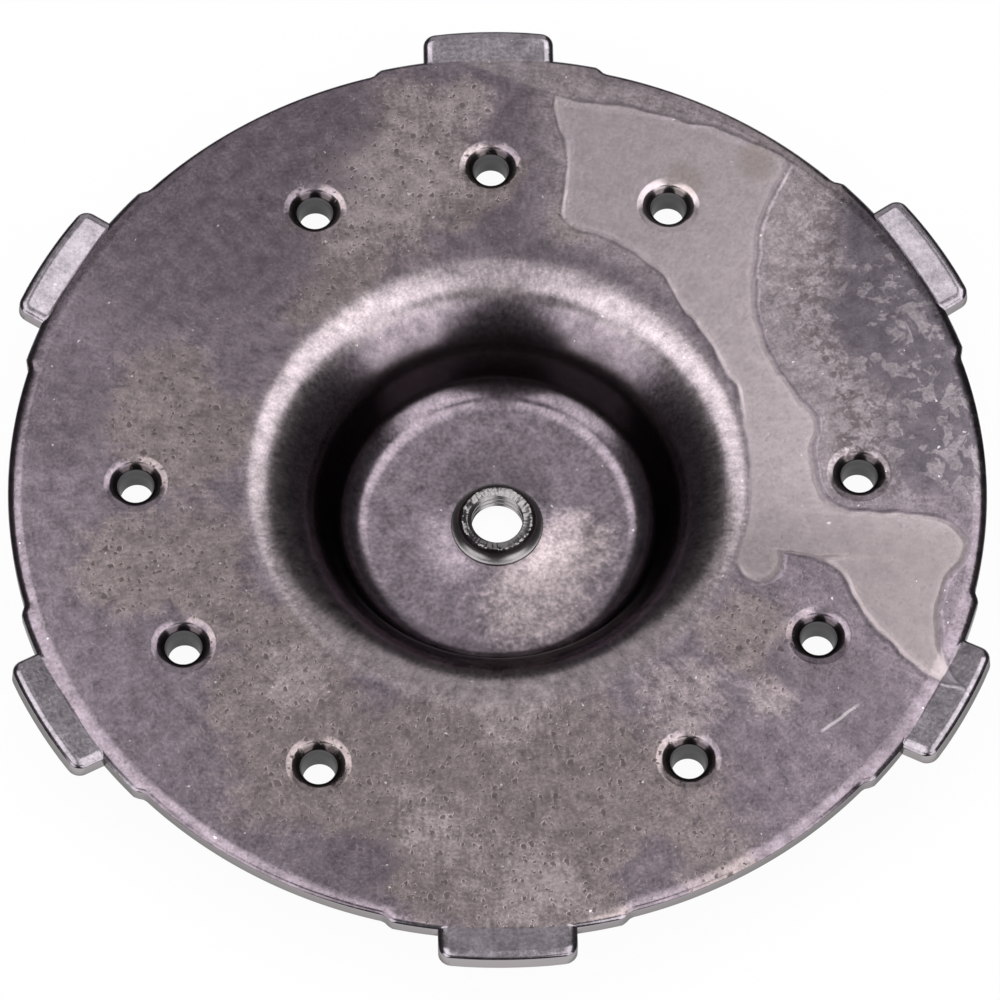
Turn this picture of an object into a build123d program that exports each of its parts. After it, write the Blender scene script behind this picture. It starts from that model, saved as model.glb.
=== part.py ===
from build123d import *
import os
from math import asin, cos, degrees, radians, sin, tan

os.makedirs("parts", exist_ok=True)

# Pressed sheet and its cut edge
sheet = 2.0  # thickness of the steel sheet
rim_radius = 47.6  # plain rim between the tabs
die_roll = 0.6  # rounding that blanking leaves on the face side of a cut edge
burr_break = 0.2  # chamfer that breaks the burr on the back side of a cut edge

# Drawn cup in the middle, below the friction face
cup_depth = 10.2  # from the friction face down to the cup floor
floor_radius = 12.7  # flat part of the cup floor
wall_slope = 70.0  # degrees from the face
floor_bend = 3.5  # inside bend between wall and floor
lip_bend = 8.5  # soft lip between face and wall
swell_radius = 8.0  # foot of the low swelling round the bush
swell_rise = 0.35
swell_bend = 10.0
swell_land = 0.2  # flat ring left outside the bush's collar

# Six drive tabs that slide in the basket's slots
tab_count = 6
first_tab_angle = 30.0
tab_width = 13.1
tab_reach = 2.9  # beyond the shoulder circle
tab_lift = 8.0  # degrees that each tab is cranked up from the face
tab_corner = 0.8
seam_depth = 0.08  # how far the tab starts below the face, at the shoulder circle
tab_root = 2.5  # how far a tab runs on into the plate
shoulder_step = 0.55  # how far the shoulder beside a tab stands out of the rim
shoulder_angle = 13.2  # degrees each side of a tab's middle
step_angle = 0.9  # degrees that the slanting end of a shoulder takes
step_bend = 0.8  # both bends of that slanting end

# Spring sleeves, on evenly spaced places of which the last in each group is left empty
place_count = 12
group_place_count = 4
first_place_angle = 60.0
sleeve_share = 0.456  # where the sleeves' circle lies on the face, from the lip out to the rim
sleeve_bore = 3.2
sleeve_outside = 5.0
sleeve_neck = 4.4  # pressed into the plate, with a shoulder against the back
sleeve_drop = 1.5  # how far a sleeve stands out of the back
sleeve_lead = 0.3  # chamfer that guides the spring on
mouth_roll = 1.4  # rolled mouth of each hole in the face

# Threaded bush clinched into the cup floor
thread_minor = 5.0  # drilled size of the M6 thread
bush_shank = 7.0
shank_drop = 0.9  # how far the shank goes into the floor, which is thicker
collar_foot = 9.1
collar_rim = 7.0
collar_height = 1.4
collar_edge = 0.2  # upright edge at the collar's foot
collar_flank = 1.3  # hollow radius of the collar's flank
thread_lead = 0.5  # countersink at both ends of the thread
hole_break = 0.3  # chamfer under the bush's hole

# Levels and radii that follow
floor_z = sheet
back_z = cup_depth
face_z = back_z + sheet
seat_z = floor_z + swell_rise
bush_top = seat_z + collar_height
shank_foot = seat_z - shank_drop
half_bend = tan(radians(wall_slope / 2))
wall_foot = floor_radius + floor_bend * half_bend
wall_head = wall_foot + cup_depth / tan(radians(wall_slope))
lip_edge = wall_head + lip_bend * half_bend
back_shift = sheet * half_bend
seat_radius = collar_foot / 2 + swell_land
shoulder_radius = rim_radius + shoulder_step
tip_radius = shoulder_radius + tab_reach
tip_angle = degrees(asin(tab_width / 2 / tip_radius))
seam_z = face_z - seam_depth
sleeve_top = face_z - mouth_roll
sleeve_foot = back_z - sleeve_drop
sleeve_circle = lip_edge + sleeve_share * (rim_radius - lip_edge)
blank_hole = (lip_edge + sleeve_circle) / 2  # where the drawn cup and the flat ring of the blank meet


def polar_point(radius, angle):
    return (radius * cos(radians(angle)), radius * sin(radians(angle)))


place_angles = [first_place_angle + 360.0 / place_count * place for place in range(place_count)]
empty_angles = place_angles[group_place_count - 1 :: group_place_count]
sleeve_angles = [angle for angle in place_angles if angle not in empty_angles]
sleeve_places = [polar_point(sleeve_circle, angle) for angle in sleeve_angles]

# One drive tab on the +X side, blanked flat, then cranked up about its root line
with BuildPart() as flat_tab:
    with BuildSketch(Plane.XY.offset(seam_z - sheet)) as tab_plan:
        with BuildLine():
            tip = CenterArc((0, 0), tip_radius, -tip_angle, 2 * tip_angle)
            root_x = shoulder_radius - tab_root
            Polyline(tip @ 0, (root_x, -tab_width / 2), (root_x, tab_width / 2), tip @ 1)
        make_face()
        fillet(tab_plan.vertices().sort_by(Axis.X)[-2:], tab_corner)
    extrude(amount=sheet)
    face_side = flat_tab.faces().sort_by(Axis.Z)[-1]
    fillet(face_side.edges().sort_by(Axis.X)[1:], die_roll)
    back_side = flat_tab.faces().sort_by(Axis.Z)[0]
    chamfer(back_side.edges().sort_by(Axis.X)[1:], burr_break)
crank_line = Axis((shoulder_radius, 0, seam_z), (0, 1, 0))
with BuildPart() as tab:
    add(flat_tab.part.rotate(crank_line, -tab_lift))
    split(bisect_by=Plane.XY.offset(back_z))

# The flat ring of the blank, with a low shoulder under each tab and a rolled mouth over each sleeve
with BuildPart() as blank:
    with BuildSketch(Plane.XY.offset(back_z)) as blank_plan:
        with BuildLine():
            shoulder_start = shoulder_angle + step_angle
            rim_sweep = 360.0 / tab_count - 2 * shoulder_start
            for tab_number in range(tab_count):
                middle = first_tab_angle + 360.0 / tab_count * tab_number
                crest = CenterArc((0, 0), shoulder_radius, middle - shoulder_angle, 2 * shoulder_angle)
                valley = CenterArc((0, 0), rim_radius, middle + shoulder_start, rim_sweep)
                Line(crest @ 1, valley @ 0)
                Line(polar_point(rim_radius, middle - shoulder_start), crest @ 0)
        make_face()
        fillet(blank_plan.vertices(), step_bend)
        Circle(blank_hole, mode=Mode.SUBTRACT)
    extrude(amount=sheet)
    with Locations(*[(x, y, face_z) for x, y in sleeve_places]):
        Hole(sleeve_bore / 2, depth=sheet)
    mouths = blank.faces().sort_by(Axis.Z)[-1].inner_wires().sort_by(SortBy.LENGTH)[:-1]
    fillet(mouths.edges(), mouth_roll)
    face_outline = blank.faces().sort_by(Axis.Z)[-1].outer_wire()
    fillet(face_outline.edges(), die_roll)
    back_outline = blank.faces().sort_by(Axis.Z)[0].outer_wire()
    chamfer(back_outline.edges(), burr_break)
    with BuildSketch(Plane.XY.offset(back_z)):
        with Locations(*sleeve_places):
            Circle(sleeve_neck / 2)
    extrude(amount=sheet - mouth_roll, mode=Mode.SUBTRACT)

# The stamping: flat friction face, soft lip, cup and tabs
with BuildPart() as plate:
    with BuildSketch(Plane.XZ):
        with BuildLine():
            section = FilletPolyline(
                (bush_shank / 2, seat_z),
                (seat_radius, seat_z),
                (swell_radius, floor_z),
                (wall_foot, floor_z),
                (wall_head, face_z),
                (blank_hole, face_z),
                (blank_hole, back_z),
                (wall_head + back_shift, back_z),
                (wall_foot + back_shift, floor_z - sheet),
                (swell_radius, floor_z - sheet),
                (seat_radius, seat_z - sheet),
                (bush_shank / 2 + hole_break, seat_z - sheet),
                (bush_shank / 2, seat_z - sheet + hole_break),
                radius=(
                    0,
                    swell_bend,
                    floor_bend,
                    lip_bend,
                    0,
                    0,
                    lip_bend - sheet,
                    floor_bend + sheet,
                    swell_bend,
                    0,
                    0,
                ),
            )
            Line(section @ 1, section @ 0)
        make_face()
    revolve(axis=Axis.Z)
    add(blank.part)
    with PolarLocations(0, tab_count, start_angle=first_tab_angle):
        add(tab.part)
plate.part.label = "pressure_plate"
export_step(plate.part, "parts/pressure_plate.step")

# Bush with a hollow-flanked collar above the floor and a plain shank through it
with BuildPart() as bush:
    with BuildSketch(Plane.XZ):
        with BuildLine():
            Polyline(
                (collar_rim / 2, bush_top),
                (thread_minor / 2 + thread_lead, bush_top),
                (thread_minor / 2, bush_top - thread_lead),
                (thread_minor / 2, shank_foot + thread_lead),
                (thread_minor / 2 + thread_lead, shank_foot),
                (bush_shank / 2, shank_foot),
                (bush_shank / 2, seat_z),
                (collar_foot / 2, seat_z),
                (collar_foot / 2, seat_z + collar_edge),
            )
            RadiusArc((collar_foot / 2, seat_z + collar_edge), (collar_rim / 2, bush_top), collar_flank)
        make_face()
    revolve(axis=Axis.Z)
bush.part.label = "threaded_bush"
export_step(bush.part, "parts/threaded_bush.step")

# Sleeves pressed into the back up to a shoulder, each in line with a rolled mouth in the face
upright = (Align.CENTER, Align.CENTER, Align.MIN)
for number, (x, y) in enumerate(sleeve_places, start=1):
    with BuildPart() as sleeve:
        with Locations((x, y, sleeve_foot)):
            Cylinder(sleeve_outside / 2, sleeve_drop, align=upright)
        chamfer(sleeve.faces().sort_by(Axis.Z)[0].edges(), sleeve_lead)
        with Locations((x, y, back_z)):
            Cylinder(sleeve_neck / 2, sheet - mouth_roll, align=upright)
        with Locations((x, y, sleeve_top)):
            Hole(sleeve_bore / 2)
    sleeve.part.label = f"spring_sleeve_{number}"
    export_step(sleeve.part, f"parts/spring_sleeve_{number}.step")
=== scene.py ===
import bmesh
import bpy
from math import atan2, cos, hypot, pi, radians, sin, tan
from mathutils import Matrix, Vector


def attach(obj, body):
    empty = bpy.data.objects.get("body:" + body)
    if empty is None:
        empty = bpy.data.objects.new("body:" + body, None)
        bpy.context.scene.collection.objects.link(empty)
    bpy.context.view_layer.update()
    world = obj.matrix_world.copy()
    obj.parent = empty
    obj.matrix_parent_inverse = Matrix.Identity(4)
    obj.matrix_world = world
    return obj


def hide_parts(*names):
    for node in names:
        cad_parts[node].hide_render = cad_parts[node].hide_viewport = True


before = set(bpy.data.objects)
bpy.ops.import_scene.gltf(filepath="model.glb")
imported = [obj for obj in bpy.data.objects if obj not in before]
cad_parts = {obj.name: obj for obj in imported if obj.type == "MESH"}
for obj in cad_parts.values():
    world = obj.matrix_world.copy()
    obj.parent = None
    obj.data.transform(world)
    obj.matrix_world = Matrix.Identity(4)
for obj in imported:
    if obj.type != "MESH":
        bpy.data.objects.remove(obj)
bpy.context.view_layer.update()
mm = 0.001
scene = bpy.context.scene
scene.view_settings.view_transform = "Standard"
print("frame loaded, with", len(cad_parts), "nodes")


# working habits that every piece uses

def leaveEditing():
    if bpy.context.object and bpy.context.object.mode != "OBJECT":
        bpy.ops.object.mode_set(mode="OBJECT")
    bpy.ops.object.select_all(action="DESELECT")


def workOn(*pieces):  # the last one is the active one
    leaveEditing()
    for piece in pieces:
        piece.select_set(True)
    bpy.context.view_layer.objects.active = pieces[-1]


def pick(piece, kind, test):
    bpy.ops.mesh.select_mode(type=kind)
    bpy.ops.mesh.select_all(action="DESELECT")
    mesh = bmesh.from_edit_mesh(piece.data)
    for item in mesh.verts if kind == "VERT" else mesh.edges:
        item.select = bool(test(item))
    mesh.select_flush_mode()
    bmesh.update_edit_mesh(piece.data)


def pickVerts(piece, test):  # the test gets a place in mm
    pick(piece, "VERT", lambda vert: test(vert.co / mm))


def roundedPath(corners):  # corners are (radius, height, bend, steps), in mm
    path = []
    for spot, (x, z, bend, steps) in enumerate(corners):
        here = Vector((x, z))
        if not bend:
            path.append(here)
            continue
        before = (Vector(corners[spot - 1][:2]) - here).normalized()
        after = (Vector(corners[(spot + 1) % len(corners)][:2]) - here).normalized()
        half = before.angle(after) / 2
        middle = here + (before + after).normalized() * bend / sin(half)
        first = here + before * bend / tan(half) - middle
        last = here + after * bend / tan(half) - middle
        turn = atan2(first.cross(last), first.dot(last))
        for step in range(steps + 1):
            angle = atan2(first.y, first.x) + turn * step / steps
            path.append(middle + Vector((cos(angle), sin(angle))) * bend)
    return path


def drawOutline(name, dots):  # a closed line through the dots, in mm, left open for editing
    leaveEditing()
    bpy.ops.mesh.primitive_plane_add(size=mm)
    piece = bpy.context.object
    piece.name = name
    bpy.ops.object.mode_set(mode="EDIT")
    bpy.ops.mesh.merge(type="CENTER")
    bpy.ops.transform.translate(value=dots[0] * mm)
    for here, there in zip(dots, dots[1:]):
        bpy.ops.mesh.extrude_vertices_move(TRANSFORM_OT_translate={"value": (there - here) * mm})
    pickVerts(piece, lambda co: min((co - end).length for end in (dots[0], dots[-1])) < 1e-3)
    bpy.ops.mesh.edge_face_add()
    return piece


def turnOnLathe(name, path, steps, at=(0, 0)):  # a closed section, spun about an upright axis
    piece = drawOutline(name, [Vector((dot.x, 0, dot.y)) for dot in path])
    bpy.ops.mesh.select_all(action="SELECT")
    bpy.ops.mesh.spin(steps=steps, angle=2 * pi, center=(0, 0, 0), axis=(0, 0, 1))
    bpy.ops.mesh.select_all(action="SELECT")
    bpy.ops.mesh.remove_doubles(threshold=1e-7)
    bpy.ops.mesh.normals_make_consistent(inside=False)
    bpy.ops.transform.translate(value=(at[0] * mm, at[1] * mm, 0))
    bpy.ops.object.mode_set(mode="OBJECT")
    return piece


def carve(piece, tool, operation):
    cut = piece.modifiers.new("carve", "BOOLEAN")
    cut.operation = operation
    cut.solver = "EXACT"
    cut.object = tool
    workOn(piece)
    bpy.ops.object.modifier_apply(modifier="carve")
    bpy.data.objects.remove(tool)


def copyTurned(piece, angle):
    workOn(piece)
    bpy.ops.object.duplicate()
    twin = bpy.context.object
    twin.rotation_euler.z = radians(angle)
    bpy.ops.object.transform_apply(rotation=True)
    return twin


def joinAll(pieces):
    workOn(*pieces)
    bpy.ops.object.join()
    return bpy.context.object


def smoothOff(piece, angle):  # flats stay flat, bends turn smoothly
    workOn(piece)
    bpy.ops.object.shade_smooth_by_angle(angle=radians(angle))
    even = piece.modifiers.new("even", "WEIGHTED_NORMAL")
    even.keep_sharp = True
    bpy.ops.object.modifier_apply(modifier="even")


# the stamping

plateSize = {
    "faceZ": 12.2, "backZ": 10.2, "rim": 47.6, "edgeRoll": (1.4, 0.45), "burr": 0.25,
    "floorZ": 2.0, "wallFoot": 15.151, "wallHead": 18.863, "floorBend": 3.5, "lipBend": 8.5,
    "backShift": 1.4, "swellFoot": 8.0, "swellTop": 4.75, "swellRise": 0.35, "swellBend": 10.0,
    "swellSpread": 1.0, "bushHole": 3.5, "holeBreak": 0.3, "turns": 720, "smooth": 32,
}
tabSize = {
    "count": 6, "firstAngle": 30, "width": 13.1, "tip": 51.05, "root": 45.65, "crank": 47.65, "lift": 7.7,
    "drop": 0.12, "thick": 1.86, "corner": 1.3, "edgeRoll": (1.0, 0.4), "burr": 0.2,
}
shoulderSize = {"reach": 48.15, "inside": 46.5, "share": {13.1: 1.0, 13.6: 0.66, 14.1: 0.16}}  # share up to an angle
sleeveSize = {
    "angles": (60, 90, 120, 180, 210, 240, 300, 330, 0), "circle": 35.205, "bore": 1.6, "outside": 2.5,
    "neck": 2.2, "top": 10.8, "foot": 8.7, "lead": 0.3, "ledge": 0.02, "turns": 96, "smooth": 40,
}
mouthSize = {"roll": 1.4, "dish": 3.4, "flare": 0.1, "sunk": 0.1, "slope": 20, "above": 1.2, "below": 2}


def plateSection(size):
    face, back, floor, under = size["faceZ"], size["backZ"], size["floorZ"], 0.0
    rise, shift, thick = size["swellRise"], size["backShift"], face - back
    wide = size["swellFoot"] + size["swellSpread"] - size["swellTop"]
    rollWide, rollDeep = size["edgeRoll"]
    edgeRoll, swelling = [], []
    for step in range(9):
        angle = radians(90 - 90 * step / 8)
        edgeRoll.append((size["rim"] - rollWide * (1 - cos(angle)), face - rollDeep * (1 - sin(angle)), 0, 0))
    for step in range(1, 9):  # steepens inwards
        share = step / 8
        swelling.append((size["swellTop"] + wide * share, floor + rise * (1 - share) ** 2, 0, 0))
    return roundedPath([
        (size["bushHole"], floor + rise, 0, 0),
        (size["swellTop"], floor + rise, 0, 0),
        *swelling,
        (size["wallFoot"], floor, size["floorBend"], 12),
        (size["wallHead"], face, size["lipBend"], 24),
        *edgeRoll,
        (size["rim"], back, size["burr"], 2),
        (size["wallHead"] + shift, back, size["lipBend"] - thick, 14),
        (size["wallFoot"] + shift, under, size["floorBend"] + thick, 12),
        (size["swellFoot"], under, size["swellBend"], 4),
        (size["swellTop"], under + rise, 0, 0),
        (size["bushHole"] + size["holeBreak"], under + rise, 0, 0),
        (size["bushHole"], under + rise + size["holeBreak"], 0, 0),
    ])


def tabOffset(co):  # degrees from the middle of the nearest tab
    pitch = 360 / tabSize["count"]
    angle = (atan2(co.y, co.x) * 180 / pi - tabSize["firstAngle"]) % pitch
    return min(angle, pitch - angle)


plate = turnOnLathe("plateStamping", plateSection(plateSize), plateSize["turns"])
workOn(plate)
bpy.ops.object.mode_set(mode="EDIT")
reached = -1.0
for edge, share in shoulderSize["share"].items():  # low shoulders, eased down to the rim at their ends
    grown = 1 + (shoulderSize["reach"] / plateSize["rim"] - 1) * share
    pickVerts(plate, lambda co: hypot(co.x, co.y) > shoulderSize["inside"] and reached < tabOffset(co) <= edge)
    bpy.ops.transform.resize(value=(grown, grown, 1), center_override=(0, 0, 0))
    reached = edge
bpy.ops.object.mode_set(mode="OBJECT")
print("plate spun, with shoulders", len(plate.data.polygons), "faces")

top = plateSize["faceZ"] - tabSize["drop"]
half = tabSize["width"] / 2
cornerX = (tabSize["tip"] ** 2 - half ** 2) ** 0.5
tipArc = [((tabSize["tip"] ** 2 - y ** 2) ** 0.5, y, 0, 0) for y in range(-4, 5)]
tabPlan = roundedPath([
    (tabSize["root"], -half, 0, 0), (cornerX, -half, tabSize["corner"], 6), *tipArc,
    (cornerX, half, tabSize["corner"], 6), (tabSize["root"], half, 0, 0),
])
rollWide, rollDeep = tabSize["edgeRoll"]
tab = drawOutline("driveTab", [Vector((dot.x, dot.y, top)) for dot in tabPlan])
bpy.ops.mesh.select_all(action="SELECT")
bpy.ops.mesh.edge_face_add()
tall = tabSize["thick"] * rollWide / rollDeep  # squashed to its thickness once its border is round
bpy.ops.mesh.extrude_region_move(TRANSFORM_OT_translate={"value": (0, 0, -tall * mm)})
bpy.ops.mesh.select_all(action="SELECT")
bpy.ops.mesh.normals_make_consistent(inside=False)


def onRimOf(side):  # edges between a flat side and an upright wall, except along the hidden root
    def test(edge):
        flats = [face for face in edge.link_faces if face.normal.z * side > 0.9]
        walls = [face for face in edge.link_faces if abs(face.normal.z) < 0.3]
        return flats and walls and max(vert.co.x for vert in edge.verts) > tabSize["root"] * mm + 1e-5
    return test


pick(tab, "EDGE", onRimOf(1))
bpy.ops.mesh.bevel(offset=rollWide * mm, segments=7, affect="EDGES")
bpy.ops.mesh.select_all(action="SELECT")
bpy.ops.transform.resize(value=(1, 1, rollDeep / rollWide), center_override=(0, 0, top * mm))
pick(tab, "EDGE", onRimOf(-1))
bpy.ops.mesh.bevel(offset=tabSize["burr"] * mm, segments=2, affect="EDGES")
bpy.ops.mesh.select_all(action="SELECT")
bpy.ops.mesh.bisect(plane_co=(tabSize["crank"] * mm, 0, 0), plane_no=(1, 0, 0))
pickVerts(tab, lambda co: co.x > tabSize["crank"] + 1e-3)
crankPoint = (tabSize["crank"] * mm, 0, top * mm)
bpy.ops.transform.rotate(value=radians(tabSize["lift"]), orient_axis="Y", center_override=crankPoint)
bpy.ops.object.mode_set(mode="OBJECT")
print("tab tip height", max(vert.co.z for vert in tab.data.vertices) / mm)
pitch = 360 / tabSize["count"]
tabs = [copyTurned(tab, tabSize["firstAngle"] + pitch * k) for k in range(tabSize["count"])]
bpy.data.objects.remove(tab)
carve(plate, joinAll(tabs), "UNION")
print("tabs joined", len(plate.data.polygons), "faces")


def mouthSection(size, sleeve, faceZ):  # a trumpet that cuts the dished mouth and the sleeve's seat
    dish, sunk, slope = size["dish"], size["sunk"], size["slope"]
    top, bore, neck = sleeve["top"], sleeve["bore"], sleeve["neck"]
    clear = 0.006  # the dish starts this far above the face
    roll = (size["roll"] - sunk) / cos(radians(slope))
    inner = bore + roll * (1 - sin(radians(slope)))
    high, low = faceZ + size["above"], top - size["below"]
    path = [Vector((0, high)), Vector((dish + size["flare"], high))]
    for step in range(9):  # shallow dish
        share = step / 9
        path.append(Vector((dish + (inner - dish) * share, faceZ + clear - (sunk + clear) * share ** 2)))
    for step in range(9):  # round roll
        angle = radians(90 + slope + (90 - slope) * step / 8)
        path.append(Vector((bore + roll + roll * cos(angle), top + roll * sin(angle))))
    path += [Vector((neck, top)), Vector((neck, low)), Vector((0, low))]
    return path


mouth = mouthSection(mouthSize, sleeveSize, plateSize["faceZ"])
cutter = turnOnLathe("mouthCutter", mouth, sleeveSize["turns"], (sleeveSize["circle"], 0))
cutters = [copyTurned(cutter, angle) for angle in sleeveSize["angles"]]
bpy.data.objects.remove(cutter)
carve(plate, joinAll(cutters), "DIFFERENCE")
smoothOff(plate, plateSize["smooth"])
print("mouths cut", len(plate.data.polygons), "faces")


# sleeves behind the mouths

def sleeveSection(size):
    bore = size["bore"] - size["ledge"]  # a hair inside the mouth
    return roundedPath([
        (bore, size["top"], 0.06, 2),
        (bore, size["foot"], 0.12, 2),
        (size["outside"] - size["lead"], size["foot"], 0.05, 2),
        (size["outside"], size["foot"] + size["lead"], 0.1, 2),
        (size["outside"], plateSize["backZ"], 0.05, 2),
        (size["neck"], plateSize["backZ"], 0, 0),
        (size["neck"], size["top"], 0, 0),
    ])


pattern = turnOnLathe("sleevePattern", sleeveSection(sleeveSize), sleeveSize["turns"], (sleeveSize["circle"], 0))
smoothOff(pattern, sleeveSize["smooth"])
sleeves = [copyTurned(pattern, angle) for angle in sleeveSize["angles"]]
bpy.data.objects.remove(pattern)
for number, sleeve in enumerate(sleeves, 1):
    sleeve.name = f"sleeve{number}"
print("sleeves turned", len(sleeves))


# the bush with its thread

bushSize = {
    "top": 3.75, "rim": 3.5, "land": 0.22, "foot": 4.55, "footZ": 2.35, "edge": 0.2, "flank": 1.3, "shank": 3.5,
    "shankFoot": 1.45, "bore": 2.52, "lead": 0.14, "turns": 160, "smooth": 32,
    "tear": 0.05, "tearDeep": 0.15, "tearStart": 0.5,
}
threadSize = {
    "pitch": 0.75, "windings": 9, "steps": 72,
    "ridge": ((2.42, -0.9), (2.42, -0.22), (2.6, -0.37), (2.92, -0.52), (2.92, -0.6), (2.6, -0.75)),
}


def bushSection(size):
    bore, shank, foot, rim = size["bore"], size["shank"], size["foot"], size["rim"]
    low, seat, top, lead = size["shankFoot"], size["footZ"], size["top"], size["lead"]
    edge, inner = seat + size["edge"], rim - size["land"]
    path = [Vector(dot) for dot in (
        (bore, low + lead), (bore + lead, low), (shank, low), (shank, seat),
        (foot, seat), (foot, edge - 0.06), (foot - 0.05, edge),
    )]
    start, end = path[-1], Vector((rim, top - 0.05))
    chord = end - start
    outward = Vector((-chord.y, chord.x)).normalized() * -1
    deep = (size["flank"] ** 2 - (chord.length / 2) ** 2) ** 0.5
    middle = (start + end) / 2 + outward * deep
    first, last = start - middle, end - middle
    turn = atan2(first.cross(last), first.dot(last))
    for step in range(1, 13):
        angle = atan2(first.y, first.x) + turn * step / 12
        path.append(middle + Vector((cos(angle), sin(angle))) * size["flank"])
    path += [Vector(dot) for dot in (
        (rim - 0.07, top), (inner, top - 0.02), (inner - 0.24, top - 0.14),
        (bore + 0.1, top - 0.2), (bore, top - 0.3),
    )]
    return path


bush = turnOnLathe("threadedBush", bushSection(bushSize), bushSize["turns"])
workOn(bush)
bpy.ops.object.mode_set(mode="EDIT")
tornZ, tornRadius = bushSize["top"] - bushSize["tearDeep"], bushSize["bore"] + bushSize["tearStart"]
pickVerts(bush, lambda co: co.z > tornZ and hypot(co.x, co.y) > tornRadius)
bpy.ops.transform.vertex_random(offset=bushSize["tear"] * mm, uniform=0.6, normal=0.3, seed=4)
bpy.ops.object.mode_set(mode="OBJECT")

tap = drawOutline("threadTap", [Vector((across, 0, height)) for across, height in threadSize["ridge"]])
bpy.ops.object.mode_set(mode="OBJECT")
wind = tap.modifiers.new("wind", "SCREW")
wind.angle = 2 * pi
wind.screw_offset = threadSize["pitch"] * mm
wind.iterations = threadSize["windings"]
wind.steps = wind.render_steps = threadSize["steps"]
wind.use_merge_vertices = False
workOn(tap)
bpy.ops.object.modifier_apply(modifier="wind")
bpy.ops.object.mode_set(mode="EDIT")
bpy.ops.mesh.select_mode(type="EDGE")
bpy.ops.mesh.select_all(action="DESELECT")
bpy.ops.mesh.select_non_manifold()
bpy.ops.mesh.fill_holes(sides=12)
bpy.ops.mesh.select_all(action="SELECT")
bpy.ops.mesh.normals_make_consistent(inside=False)
bpy.ops.object.mode_set(mode="OBJECT")
carve(bush, tap, "DIFFERENCE")
smoothOff(bush, bushSize["smooth"])
print("bush threaded", len(bush.data.polygons), "faces")


# finishes

class Flow:  # a socket that adds up like a number
    def __init__(self, finish, socket):
        self.finish, self.socket = finish, socket

    def maths(self, how, first, second):
        return self.finish.add("ShaderNodeMath", {"operation": how}, {0: first, 1: second})

    def __add__(self, other):
        return self.maths("ADD", self, other)

    def __radd__(self, other):
        return self.maths("ADD", other, self)

    def __sub__(self, other):
        return self.maths("SUBTRACT", self, other)

    def __rsub__(self, other):
        return self.maths("SUBTRACT", other, self)

    def __mul__(self, other):
        return self.maths("MULTIPLY", self, other)

    def __rmul__(self, other):
        return self.maths("MULTIPLY", other, self)

    def __truediv__(self, other):
        return self.maths("DIVIDE", self, other)

    def __pow__(self, other):
        return self.maths("POWER", self, other)

    def least(self, other):
        return self.maths("MINIMUM", self, other)

    def most(self, other):
        return self.maths("MAXIMUM", self, other)

    def size(self):
        return self.maths("ABSOLUTE", self, 0.0)

    def also(self, output):  # another output of the same node
        return Flow(self.finish, self.socket.node.outputs[output])


class Finish:  # one material and its nodes
    def __init__(self, name):
        self.material = bpy.data.materials.new(name)
        self.material.use_nodes = True
        self.tree = self.material.node_tree
        self.shader = self.tree.nodes["Principled BSDF"]
        where = self.add("ShaderNodeTexCoord", {}, {}, "Object")
        self.place = self.scaled(where, 1 / mm)

    def add(self, kind, settings, sockets, output=0):
        node = self.tree.nodes.new(kind)
        for key, value in settings.items():
            if key == "curve":
                line = node.mapping.curves[0]
                for dot, place in zip(line.points, (value[0], value[-1])):
                    dot.location = place
                for place in value[1:-1]:
                    line.points.new(*place)
                node.mapping.update()
            else:
                setattr(node, key, value)
        for key, value in sockets.items():
            if isinstance(value, Flow):
                self.tree.links.new(value.socket, node.inputs[key])
            else:
                node.inputs[key].default_value = value
        return Flow(self, node.outputs[output])

    def noise(self, size, detail=2, rough=0.5, twist=0.0, output=0):  # size in mm
        return self.add("ShaderNodeTexNoise", {}, {
            "Vector": self.place, "Scale": 1 / size, "Detail": detail, "Roughness": rough, "Distortion": twist}, output)

    def move(self, how, first, second, output=0):  # sums on places
        return self.add("ShaderNodeVectorMath", {"operation": how}, {0: first, 1: second}, output)

    def away(self, place, spot):
        return self.move("DISTANCE", place, (*spot, 0), "Value")

    def scaled(self, vector, factor):
        return self.add("ShaderNodeVectorMath", {"operation": "SCALE"}, {0: vector, "Scale": factor})

    def part(self, vector, axis):
        return self.add("ShaderNodeSeparateXYZ", {}, {0: vector}, axis)

    def step(self, value, low, high):  # 0 below low, 1 above high
        return self.add("ShaderNodeMapRange", {"interpolation_type": "SMOOTHSTEP"}, {
            "Value": value, "From Min": low, "From Max": high})

    def mix(self, share, first, second):
        return self.add("ShaderNodeMix", {"data_type": "RGBA"}, {0: share, 6: first, 7: second}, 2)

    def feed(self, socket, value):
        if isinstance(value, Flow):
            self.tree.links.new(value.socket, self.shader.inputs[socket])
        else:
            self.shader.inputs[socket].default_value = value


def steelPlain(name, tone, rough, metal=1.0, footShade=None):  # the last argument gives the heights between which the painted shade towards the foot clears up
    finish = Finish(name)
    grain = finish.noise(0.4, 3)
    cloud = finish.noise(6, 3)
    level = finish.step(0.75 + grain * 0.25 + cloud * 0.25, 0.75, 1.25)
    colour = finish.mix(level, (*[c * 0.75 for c in tone], 1), (*[c * 1.25 for c in tone], 1))
    if footShade:
        height = finish.part(finish.place, "Z")
        # painted shade: darker towards the foot
        colour = finish.mix(finish.step(height, *footShade), (*[c * 0.08 for c in tone], 1), colour)
    finish.feed("Base Color", colour)
    finish.feed("Metallic", metal)
    finish.feed("Roughness", rough + cloud * 0.1)
    return finish.material


# among these tones, the pale lip tone is a painted highlight and the near-black one is painted shade for the steep cup
# walls and hole throats
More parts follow.
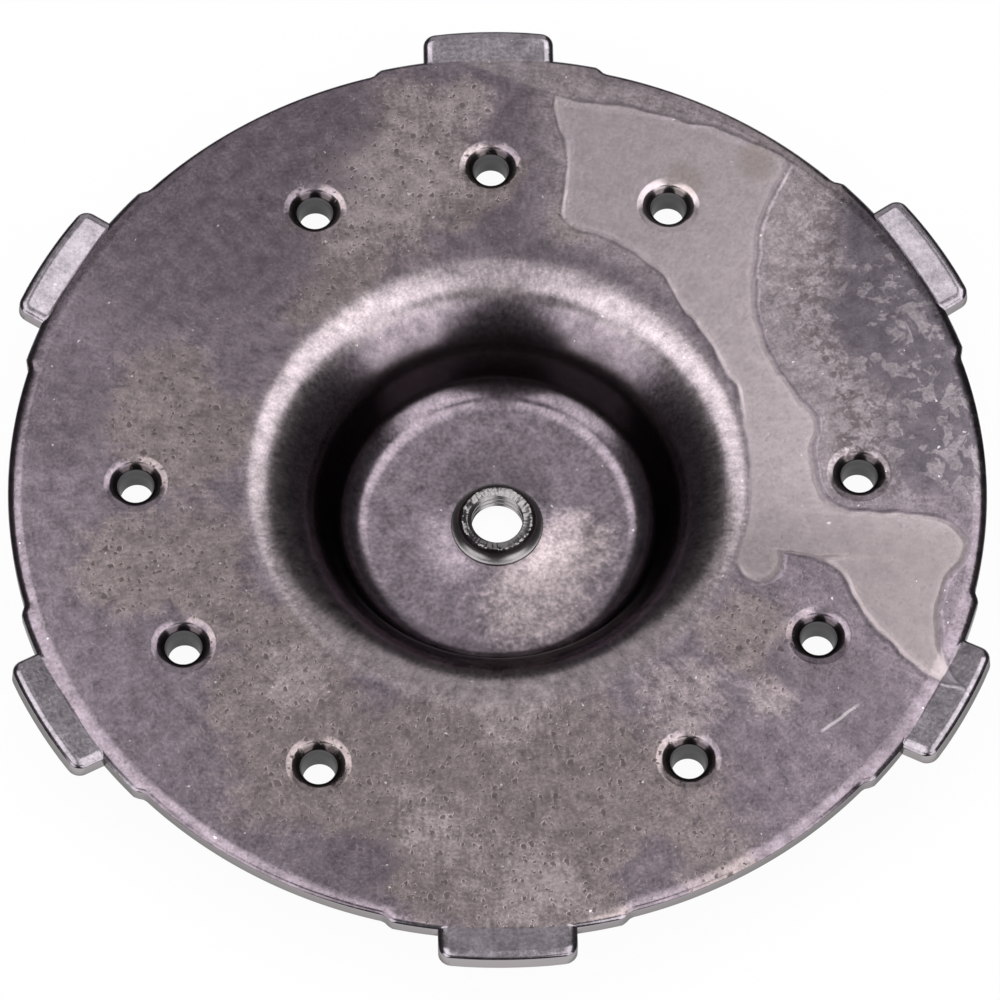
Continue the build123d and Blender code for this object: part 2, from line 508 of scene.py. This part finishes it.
plateTones = {
    "purple": (0.184, 0.152, 0.177), "taupe": (0.222, 0.183, 0.186), "light": (0.33, 0.277, 0.287),
    "dark": (0.148, 0.122, 0.142), "pit": (0.062, 0.05, 0.05), "lip": (0.33, 0.285, 0.3), "tab": (0.25, 0.225, 0.25),
    "stain": (0.395, 0.341, 0.357), "stainLow": (0.262, 0.224, 0.232), "smudge": (0.29, 0.24, 0.222),
    "camoPale": (0.26, 0.224, 0.24), "camoBrown": (0.135, 0.112, 0.118), "camoLight": (0.205, 0.18, 0.195),
    "camoDark": (0.112, 0.096, 0.113), "cut": (0.42, 0.39, 0.4), "spark": (0.8, 0.77, 0.77),
    "paintedShade": (0.035, 0.028, 0.028), "bore": (0.13, 0.126, 0.13), "graze": (0.38, 0.39, 0.38),
}
plateWear = {
    "rough": 0.18, "cupRough": 0.05, "lipCircle": 22.6, "tabStart": 47.8,
    "scratch": (32.1, -26.5), "drop": (25.2, -9.4), "dropReach": 2.4,
    "taupeSpots": (  # middle and reach, in mm
        (-8, 37, 9), (-13, 30, 8), (-2, 33, 5), (-33, 9, 7), (-29, 4, 6), (-37, -9, 6), (-30, -9, 7),
        (-22, -20, 8), (-20, -30, 9), (-9, -33, 9), (4, -33, 8), (4, -44, 8), (-6, -42, 7), (0, -25, 9),
        (14, -33, 8), (24, -17, 5), (-16, 20, 5), (8, 29, 3), (20, -41, 5),
    ),
    "lightSpots": (
        (-7, 37, 9), (-13, 31, 8), (-2, 43, 3), (7.5, 42, 2.5), (9, 36, 2.5), (9, 31, 3), (2, -44, 6),
        (-7, -37, 5), (0, -24, 6), (17, -24, 6), (-20, -21, 4), (26, -24, 3), (3, -9, 7), (8, -2, 5),
    ),
    "darkSpots": (
        (-30, 31, 15), (-19, 41, 8), (4.8, 46, 1.8), (3.6, 43.4, 1.6), (2.4, 41.4, 1.6), (1.2, 39.4, 1.8), (1, 28, 3),
        (4, 26.3, 2.6), (-44, 8, 7), (33, -23, 5), (28, -20, 3), (36, -27, 5), (-15, -41, 5),
    ),
    "smudges": ((26.6, 35.6, 2.6), (19.3, 33.4, 2.4)),
    "stainLeft": (  # up, then across, in mm
        (-26, 46), (-23.5, 44), (-22.5, 41), (-19.5, 38), (-16, 35), (-13, 33.6), (-10.5, 32.4), (-8.9, 29.5),
        (-8.4, 23.2), (-6, 23.8), (0, 24.4), (8, 23.6), (15, 21), (19.5, 18.2), (22, 17), (24, 15.2), (26, 12.2),
        (27.3, 9.6), (28.3, 8), (29.5, 7), (32, 6.9), (35, 7.1), (38, 7.4), (40, 6.9), (42, 6.4), (44, 6.6), (46, 7),
    ),
    "stainRight": (
        (-26, 45), (-23.5, 44), (-20, 42.5), (-16, 42.2), (-12, 43.2), (-8.5, 45.2), (-6.5, 44.8), (-5, 43.2),
        (-4.3, 38), (-3.4, 33), (-2, 31.4), (0, 31), (3, 31.1), (5, 31.5), (6.5, 31), (9, 29.3), (11, 28), (15, 26.5),
        (20, 26), (25, 26.4), (30, 27.6), (33, 29), (35, 29.8), (36.4, 28.6), (38, 25.5), (40, 20.8), (41.5, 15),
        (42.5, 10), (43.2, 6.5), (46, 0),
    ),
}


def stainedSteel(tones, wear):
    f = Finish("stainedSteel")
    tint = {key: (*tone, 1) for key, tone in tones.items()}

    def nudged(size, far, detail):  # places pushed about by noise
        push = f.move("SUBTRACT", f.noise(size, detail, 0.55, 0.0, "Color"), (0.5, 0.5, 0.5))
        return f.move("MULTIPLY", f.move("ADD", f.place, f.scaled(push, far)), (1, 1, 0))

    def pitting(size, small, large, share):  # scattered round pits, in mm
        cells = f.add("ShaderNodeTexVoronoi", {"voronoi_dimensions": "2D"}, {"Vector": frayed, "Scale": 1 / size})
        luck = f.add("ShaderNodeSeparateColor", {}, {0: cells.also("Color")})
        reach = luck.also(1) * luck.also(1) * (large - small) + small
        return f.step(cells * size / reach, 1.1, 0.5) * f.step(luck, 1 - share, 1.04 - share)

    def spots(places):  # big ones are ragged, small ones keep their place
        total = 0.0
        for cx, cy, reach in places:
            total = f.step(f.away(loose if reach > 4 else drift, (cx, cy)), reach * 1.4, reach * 0.3) + total
        return total

    loose, drift, frayed = nudged(5, 9.0, 6), nudged(6, 1.8, 2), nudged(0.5, 0.7, 2)
    x = f.part(f.place, "X")
    y = x.also("Y")
    radius = (x * x + y * y) ** 0.5
    facing = f.part(f.add("ShaderNodeNewGeometry", {}, {}, "Normal"), "Z")
    front = f.step(facing, -0.3, -0.1)  # the back has none of the front's marks
    broad, middling = f.noise(12, 7, 0.66), f.noise(1.7, 5, 0.62)
    grain, dust = f.noise(0.42, 2, 0.6), f.noise(0.24, 1)

    ragged = broad * 0.8 + middling * 0.6 + grain * 0.3
    warm = f.step(spots(wear["taupeSpots"]) * 0.55 + ragged, 0.95, 1.4)
    pale = f.step(spots(wear["lightSpots"]) * 0.6 + ragged, 1.0, 1.6)
    dim = f.step(spots(wear["darkSpots"]) * 0.6 + ragged, 0.98, 1.35)
    colour = f.mix(pale * 0.9, f.mix(warm, tint["purple"], tint["taupe"]), tint["light"])
    colour = f.mix(dim * 0.9, colour, tint["dark"])
    # painted highlight: a paler ring painted around the cup lip
    lip = f.step((radius - wear["lipCircle"]).size(), 2.8, 1.2) * front
    colour = f.mix(lip * 0.8, colour, tint["lip"])

    # a dried stain between two wandering tide lines
    edgeX = f.part(drift, "X")
    edgeY = edgeX.also("Y")

    def border(dots, shift):  # the curve node works between 0 and 1
        line = [((cy + 30) / 80, cx / 50) for cy, cx in dots]
        return f.add("ShaderNodeFloatCurve", {"curve": line}, {"Value": (edgeY + 30 + shift) / 80}) * 50

    def inside(dots, sign):  # distance from the line, in mm
        slope = (border(dots, 0.4) - border(dots, -0.4)) * 1.25
        return (edgeX - border(dots, 0)) * sign / (slope * slope + 1) ** 0.5

    leftEdge, rightEdge = inside(wear["stainLeft"], 1), inside(wear["stainRight"], -1)
    depth = leftEdge.least(rightEdge).most(wear["dropReach"] - f.away(drift, wear["drop"]))
    offLip = f.step(radius, 24.5, 26) * front
    stain = f.step(depth, -0.1, 0.3) * f.step(radius, 20, 24.5) * front
    veil = f.step(leftEdge.least(rightEdge + 3), -4.5, 0.5) * f.step(y, 16, 24) * offLip  # thin edge of the stain
    tide = f.step(depth.size(), 0.24, 0.05) * offLip
    glow = f.step((depth - 0.6).size(), 0.55, 0.1) * offLip
    bead = f.step((depth - 0.1).size(), 0.5, 0.0) * offLip

    # right of the stain: a pale edge, then fine brown mottle, then pale flakes on dark
    out = rightEdge * -1 + (f.noise(7, 3) - 0.5) * 7
    shard = f.add("ShaderNodeTexVoronoi", {}, {"Vector": frayed, "Scale": 1 / 1.1}, "Color")
    flake = f.noise(3.2, 4, 0.6, 0.8) + f.add("ShaderNodeSeparateColor", {}, {0: shard}) * 0.22
    flakes = f.mix(f.step(flake, 0.65, 0.71), tint["camoDark"], tint["camoLight"])
    mottle = f.mix(f.step(f.noise(0.9, 4, 0.65), 0.42, 0.56), tint["camoBrown"], tint["camoPale"])
    flaky = f.mix(f.step(out, 5, 9), f.mix(f.step(out, 1.5, 4), tint["camoPale"], mottle), flakes)
    camo = f.step(rightEdge * -1, 0.0, 0.6) * f.step(y, -6, 1) * f.step(y + x * 0.5, 54, 48) * front
    colour = f.mix(camo, colour, flaky)
    dried = f.mix(f.step(y, 1, -9), tint["stain"], tint["stainLow"])
    dried = f.mix(f.step(spots(wear["smudges"]) + middling * 0.9, 0.6, 1.5) * 0.6, dried, tint["smudge"])
    colour = f.mix(stain.most(veil * 0.45) * 0.95, colour, dried)
    raw = 1 - stain * 0.7
    tab = f.step(radius, wear["tabStart"] - 0.05, wear["tabStart"] + 0.05)
    colour = f.mix(tab, colour, tint["tab"])

    # grain, pits, a scratch and bright specks
    shade = 1 + ((middling - 0.5) * 1.5 + (grain - 0.5) * 0.9 + (dust - 0.5) * 0.5) * raw
    colour = f.scaled(colour, shade * (1 - tide * 0.22) * (1 + glow * 0.1))
    pits = pitting(1.7, 0.15, 0.42, 0.7).most(pitting(0.95, 0.1, 0.26, 0.7))
    pits = pits * (0.25 + warm.most(pale) * 0.75) * raw * (1 - camo) * (1 - tab) * (0.25 + offLip * 0.75)
    colour = f.mix(pits * 0.8, colour, tint["pit"])
    acrossX, acrossY = x - wear["scratch"][0], y - wear["scratch"][1]
    along = acrossX * 0.8 + acrossY * 0.6
    beside = acrossX * 0.6 - acrossY * 0.8 + (middling - 0.5) * 0.4
    scratch = f.step(beside.size(), 0.22, 0.08) * f.step(along.size(), 2.6, 1.8) * front * 0.6
    bright = pitting(2.7, 0.06, 0.15, 0.2).most(scratch)
    colour = f.mix(bright * 0.55, colour, tint["spark"])

    # cut edges, painted shade on the steep cup walls and in the hole throats, and bare hole bores
    cut = f.step(facing.size(), 0.55, 0.25) * f.step(radius, 46.6, 46.9)
    colour = f.mix(cut, colour, tint["cut"])
    # painted shade: the steep cup walls darkened nearly to black
    steepWallShade = f.step(facing, 0.82, 0.48) * f.step(radius, 24.5, 23.5) * front
    colour = f.mix(steepWallShade * 0.85, colour, tint["paintedShade"])
    nearHole = f.step((radius - sleeveSize["circle"]).size(), 3.4, 3.2) * front
    # painted shade: a dark ring down the steep part of each hole mouth
    throatShade = f.step(facing, 0.94, 0.76) * nearHole
    colour = f.mix(throatShade * 0.8, colour, tint["paintedShade"])
    bore = f.step(facing, 0.57, 0.48) * nearHole
    colour = f.mix(bore, colour, tint["bore"])

    cup = f.step(radius, 26, 23)
    rough = wear["rough"] + (grain - 0.5) * 0.1 + pits * 0.15 + bore * 0.3 + cup * wear["cupRough"]
    relief = grain * 0.25 * raw - pits + bead * 1.2
    bump = f.add("ShaderNodeBump", {}, {"Height": relief, "Strength": 0.35, "Distance": 0.03 * mm})
    f.feed("Base Color", colour)
    f.feed("Specular Tint", tint["graze"])
    f.feed("Metallic", 1 - bore * 0.8)
    f.feed("Roughness", rough)
    f.feed("Normal", bump)
    return f.material


plateFinish = stainedSteel(plateTones, plateWear)
bushLook = {"tone": (0.22, 0.207, 0.21), "rough": 0.22}
# the last entry paints shade towards the sleeve's foot
sleeveLook = {"tone": (0.13, 0.126, 0.13), "rough": 0.45, "metal": 0.2, "footShade": (8.8, 10.9)}
bushFinish = steelPlain("bushSteel", **bushLook)
sleeveFinish = steelPlain("sleeveSteel", **sleeveLook)


def dress(piece, finish, node):
    piece.data.materials.clear()
    piece.data.materials.append(finish)
    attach(piece, "root")
    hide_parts(node)


dress(plate, plateFinish, "pressure_plate")
dress(bush, bushFinish, "threaded_bush")
for number, sleeve in enumerate(sleeves, 1):
    dress(sleeve, sleeveFinish, f"spring_sleeve_{number}")
print("finishes on")


# floor, light and camera

floorLook = {"size": 3.0, "sunk": 0.02, "tone": 0.9, "rough": 0.8, "plain": 0.95}
leaveEditing()
bpy.ops.mesh.primitive_plane_add(size=floorLook["size"], location=(0, 0, -floorLook["sunk"] * mm))
floor = bpy.context.object
floor.name = "floor"
ground = Finish("paleFloor")
ground.feed("Base Color", (floorLook["tone"],) * 3 + (1,))
ground.feed("Roughness", floorLook["rough"])
ray = ground.add("ShaderNodeLightPath", {}, {}, "Is Camera Ray")
seen = ray + ray.also("Is Glossy Ray") + ray.also("Is Transmission Ray")
white = ground.add("ShaderNodeEmission", {}, {"Color": (1, 1, 1, 1), "Strength": 1.0})
matt = Flow(ground, ground.shader.outputs[0])
blend = ground.add("ShaderNodeMixShader", {}, {0: seen * floorLook["plain"], 1: matt, 2: white})
ground.tree.links.new(blend.socket, ground.tree.nodes["Material Output"].inputs["Surface"])
floor.data.materials.append(ground.material)

roomTone = 0.07  # what the part reflects beyond the lights
world = scene.world or bpy.data.worlds.new("studio")
scene.world = world
world.use_nodes = True
sky = world.node_tree
backdrop = sky.nodes["Background"]
backdrop.inputs["Color"].default_value = (roomTone, roomTone, roomTone, 1)
skyPath = sky.nodes.new("ShaderNodeLightPath")
whole = sky.nodes.new("ShaderNodeBackground")
whole.inputs["Color"].default_value = (1, 1, 1, 1)
skyMix = sky.nodes.new("ShaderNodeMixShader")
sky.links.new(skyPath.outputs["Is Camera Ray"], skyMix.inputs[0])
sky.links.new(backdrop.outputs[0], skyMix.inputs[1])
sky.links.new(whole.outputs[0], skyMix.inputs[2])
sky.links.new(skyMix.outputs[0], sky.nodes["World Output"].inputs["Surface"])

photoView = {
    "lift": 62.142, "away": 610.38, "turn": -1.9, "roll": 0.877, "aim": (0.253, -2.424, 12.2),
    "lens": 226.43, "sensor": 36, "near": 0.01,
}


def studioPoint(azimuth, elevation, away):  # azimuth from straight behind the part, + to the right
    a, e = radians(azimuth), radians(elevation)
    return Vector((sin(a) * cos(e), cos(a) * cos(e), sin(e))) * away


softLights = {  # two wings and a dim strip overhead, two boxes beside the camera, and a dim card straight behind
    "leftWing": {"at": (-1.33, 0.76, 4.0), "overhead": True, "size": (1.82, 3.36), "level": 2.9},
    "rightWing": {"at": (1.33, 0.76, 4.0), "overhead": True, "size": (1.82, 3.36), "level": 2.9},
    "midStrip": {"at": (0, 0.7, 4.1), "overhead": True, "size": (0.96, 5.0), "level": 0.6},
    "leftFront": {"at": studioPoint(-128, 33, 4.0), "size": (2.8, 4.0), "level": 2.3},
    "rightFront": {"at": studioPoint(137, 36, 4.0), "size": (2.5, 4.2), "level": 2.6},
    "backCard": {"at": studioPoint(0, 36, 4.4), "size": (3.0, 2.6), "level": 0.75},
}
for name, look in softLights.items():
    lamp = bpy.data.lights.new(name, "AREA")
    lamp.shape = "RECTANGLE"
    lamp.size, lamp.size_y = look["size"]
    lamp.energy = look["level"] * pi * lamp.size * lamp.size_y
    box = bpy.data.objects.new(name, lamp)
    scene.collection.objects.link(box)
    box.location = look["at"]
    if "overhead" not in look:  # those hang level and shine down
        box.rotation_euler = box.location.to_track_quat("Z", "Y").to_euler()

e, roll = radians(photoView["lift"]), radians(photoView["roll"])
spin = Matrix.Rotation(radians(photoView["turn"]), 3, "Z")
back = Vector((0, -cos(e), sin(e)))
right, up = Vector((1, 0, 0)), Vector((0, sin(e), cos(e)))
tiltRight = spin @ (right * cos(roll) + up * sin(roll))
tiltUp = spin @ (up * cos(roll) - right * sin(roll))
aim = Vector(photoView["aim"]) * mm
eye = Vector((0, 0, aim.z)) + spin @ (Vector((aim.x, aim.y, 0)) + back * photoView["away"] * mm)
camera = bpy.data.objects.new("photoCamera", bpy.data.cameras.new("photoCamera"))
scene.collection.objects.link(camera)
camera.data.lens = photoView["lens"]
camera.data.sensor_width = photoView["sensor"]
camera.data.clip_start = photoView["near"]
turned = Matrix((tiltRight, tiltUp, spin @ back)).transposed().to_4x4()
turned.translation = eye
camera.matrix_world = turned
scene.camera = camera
print("studio set")
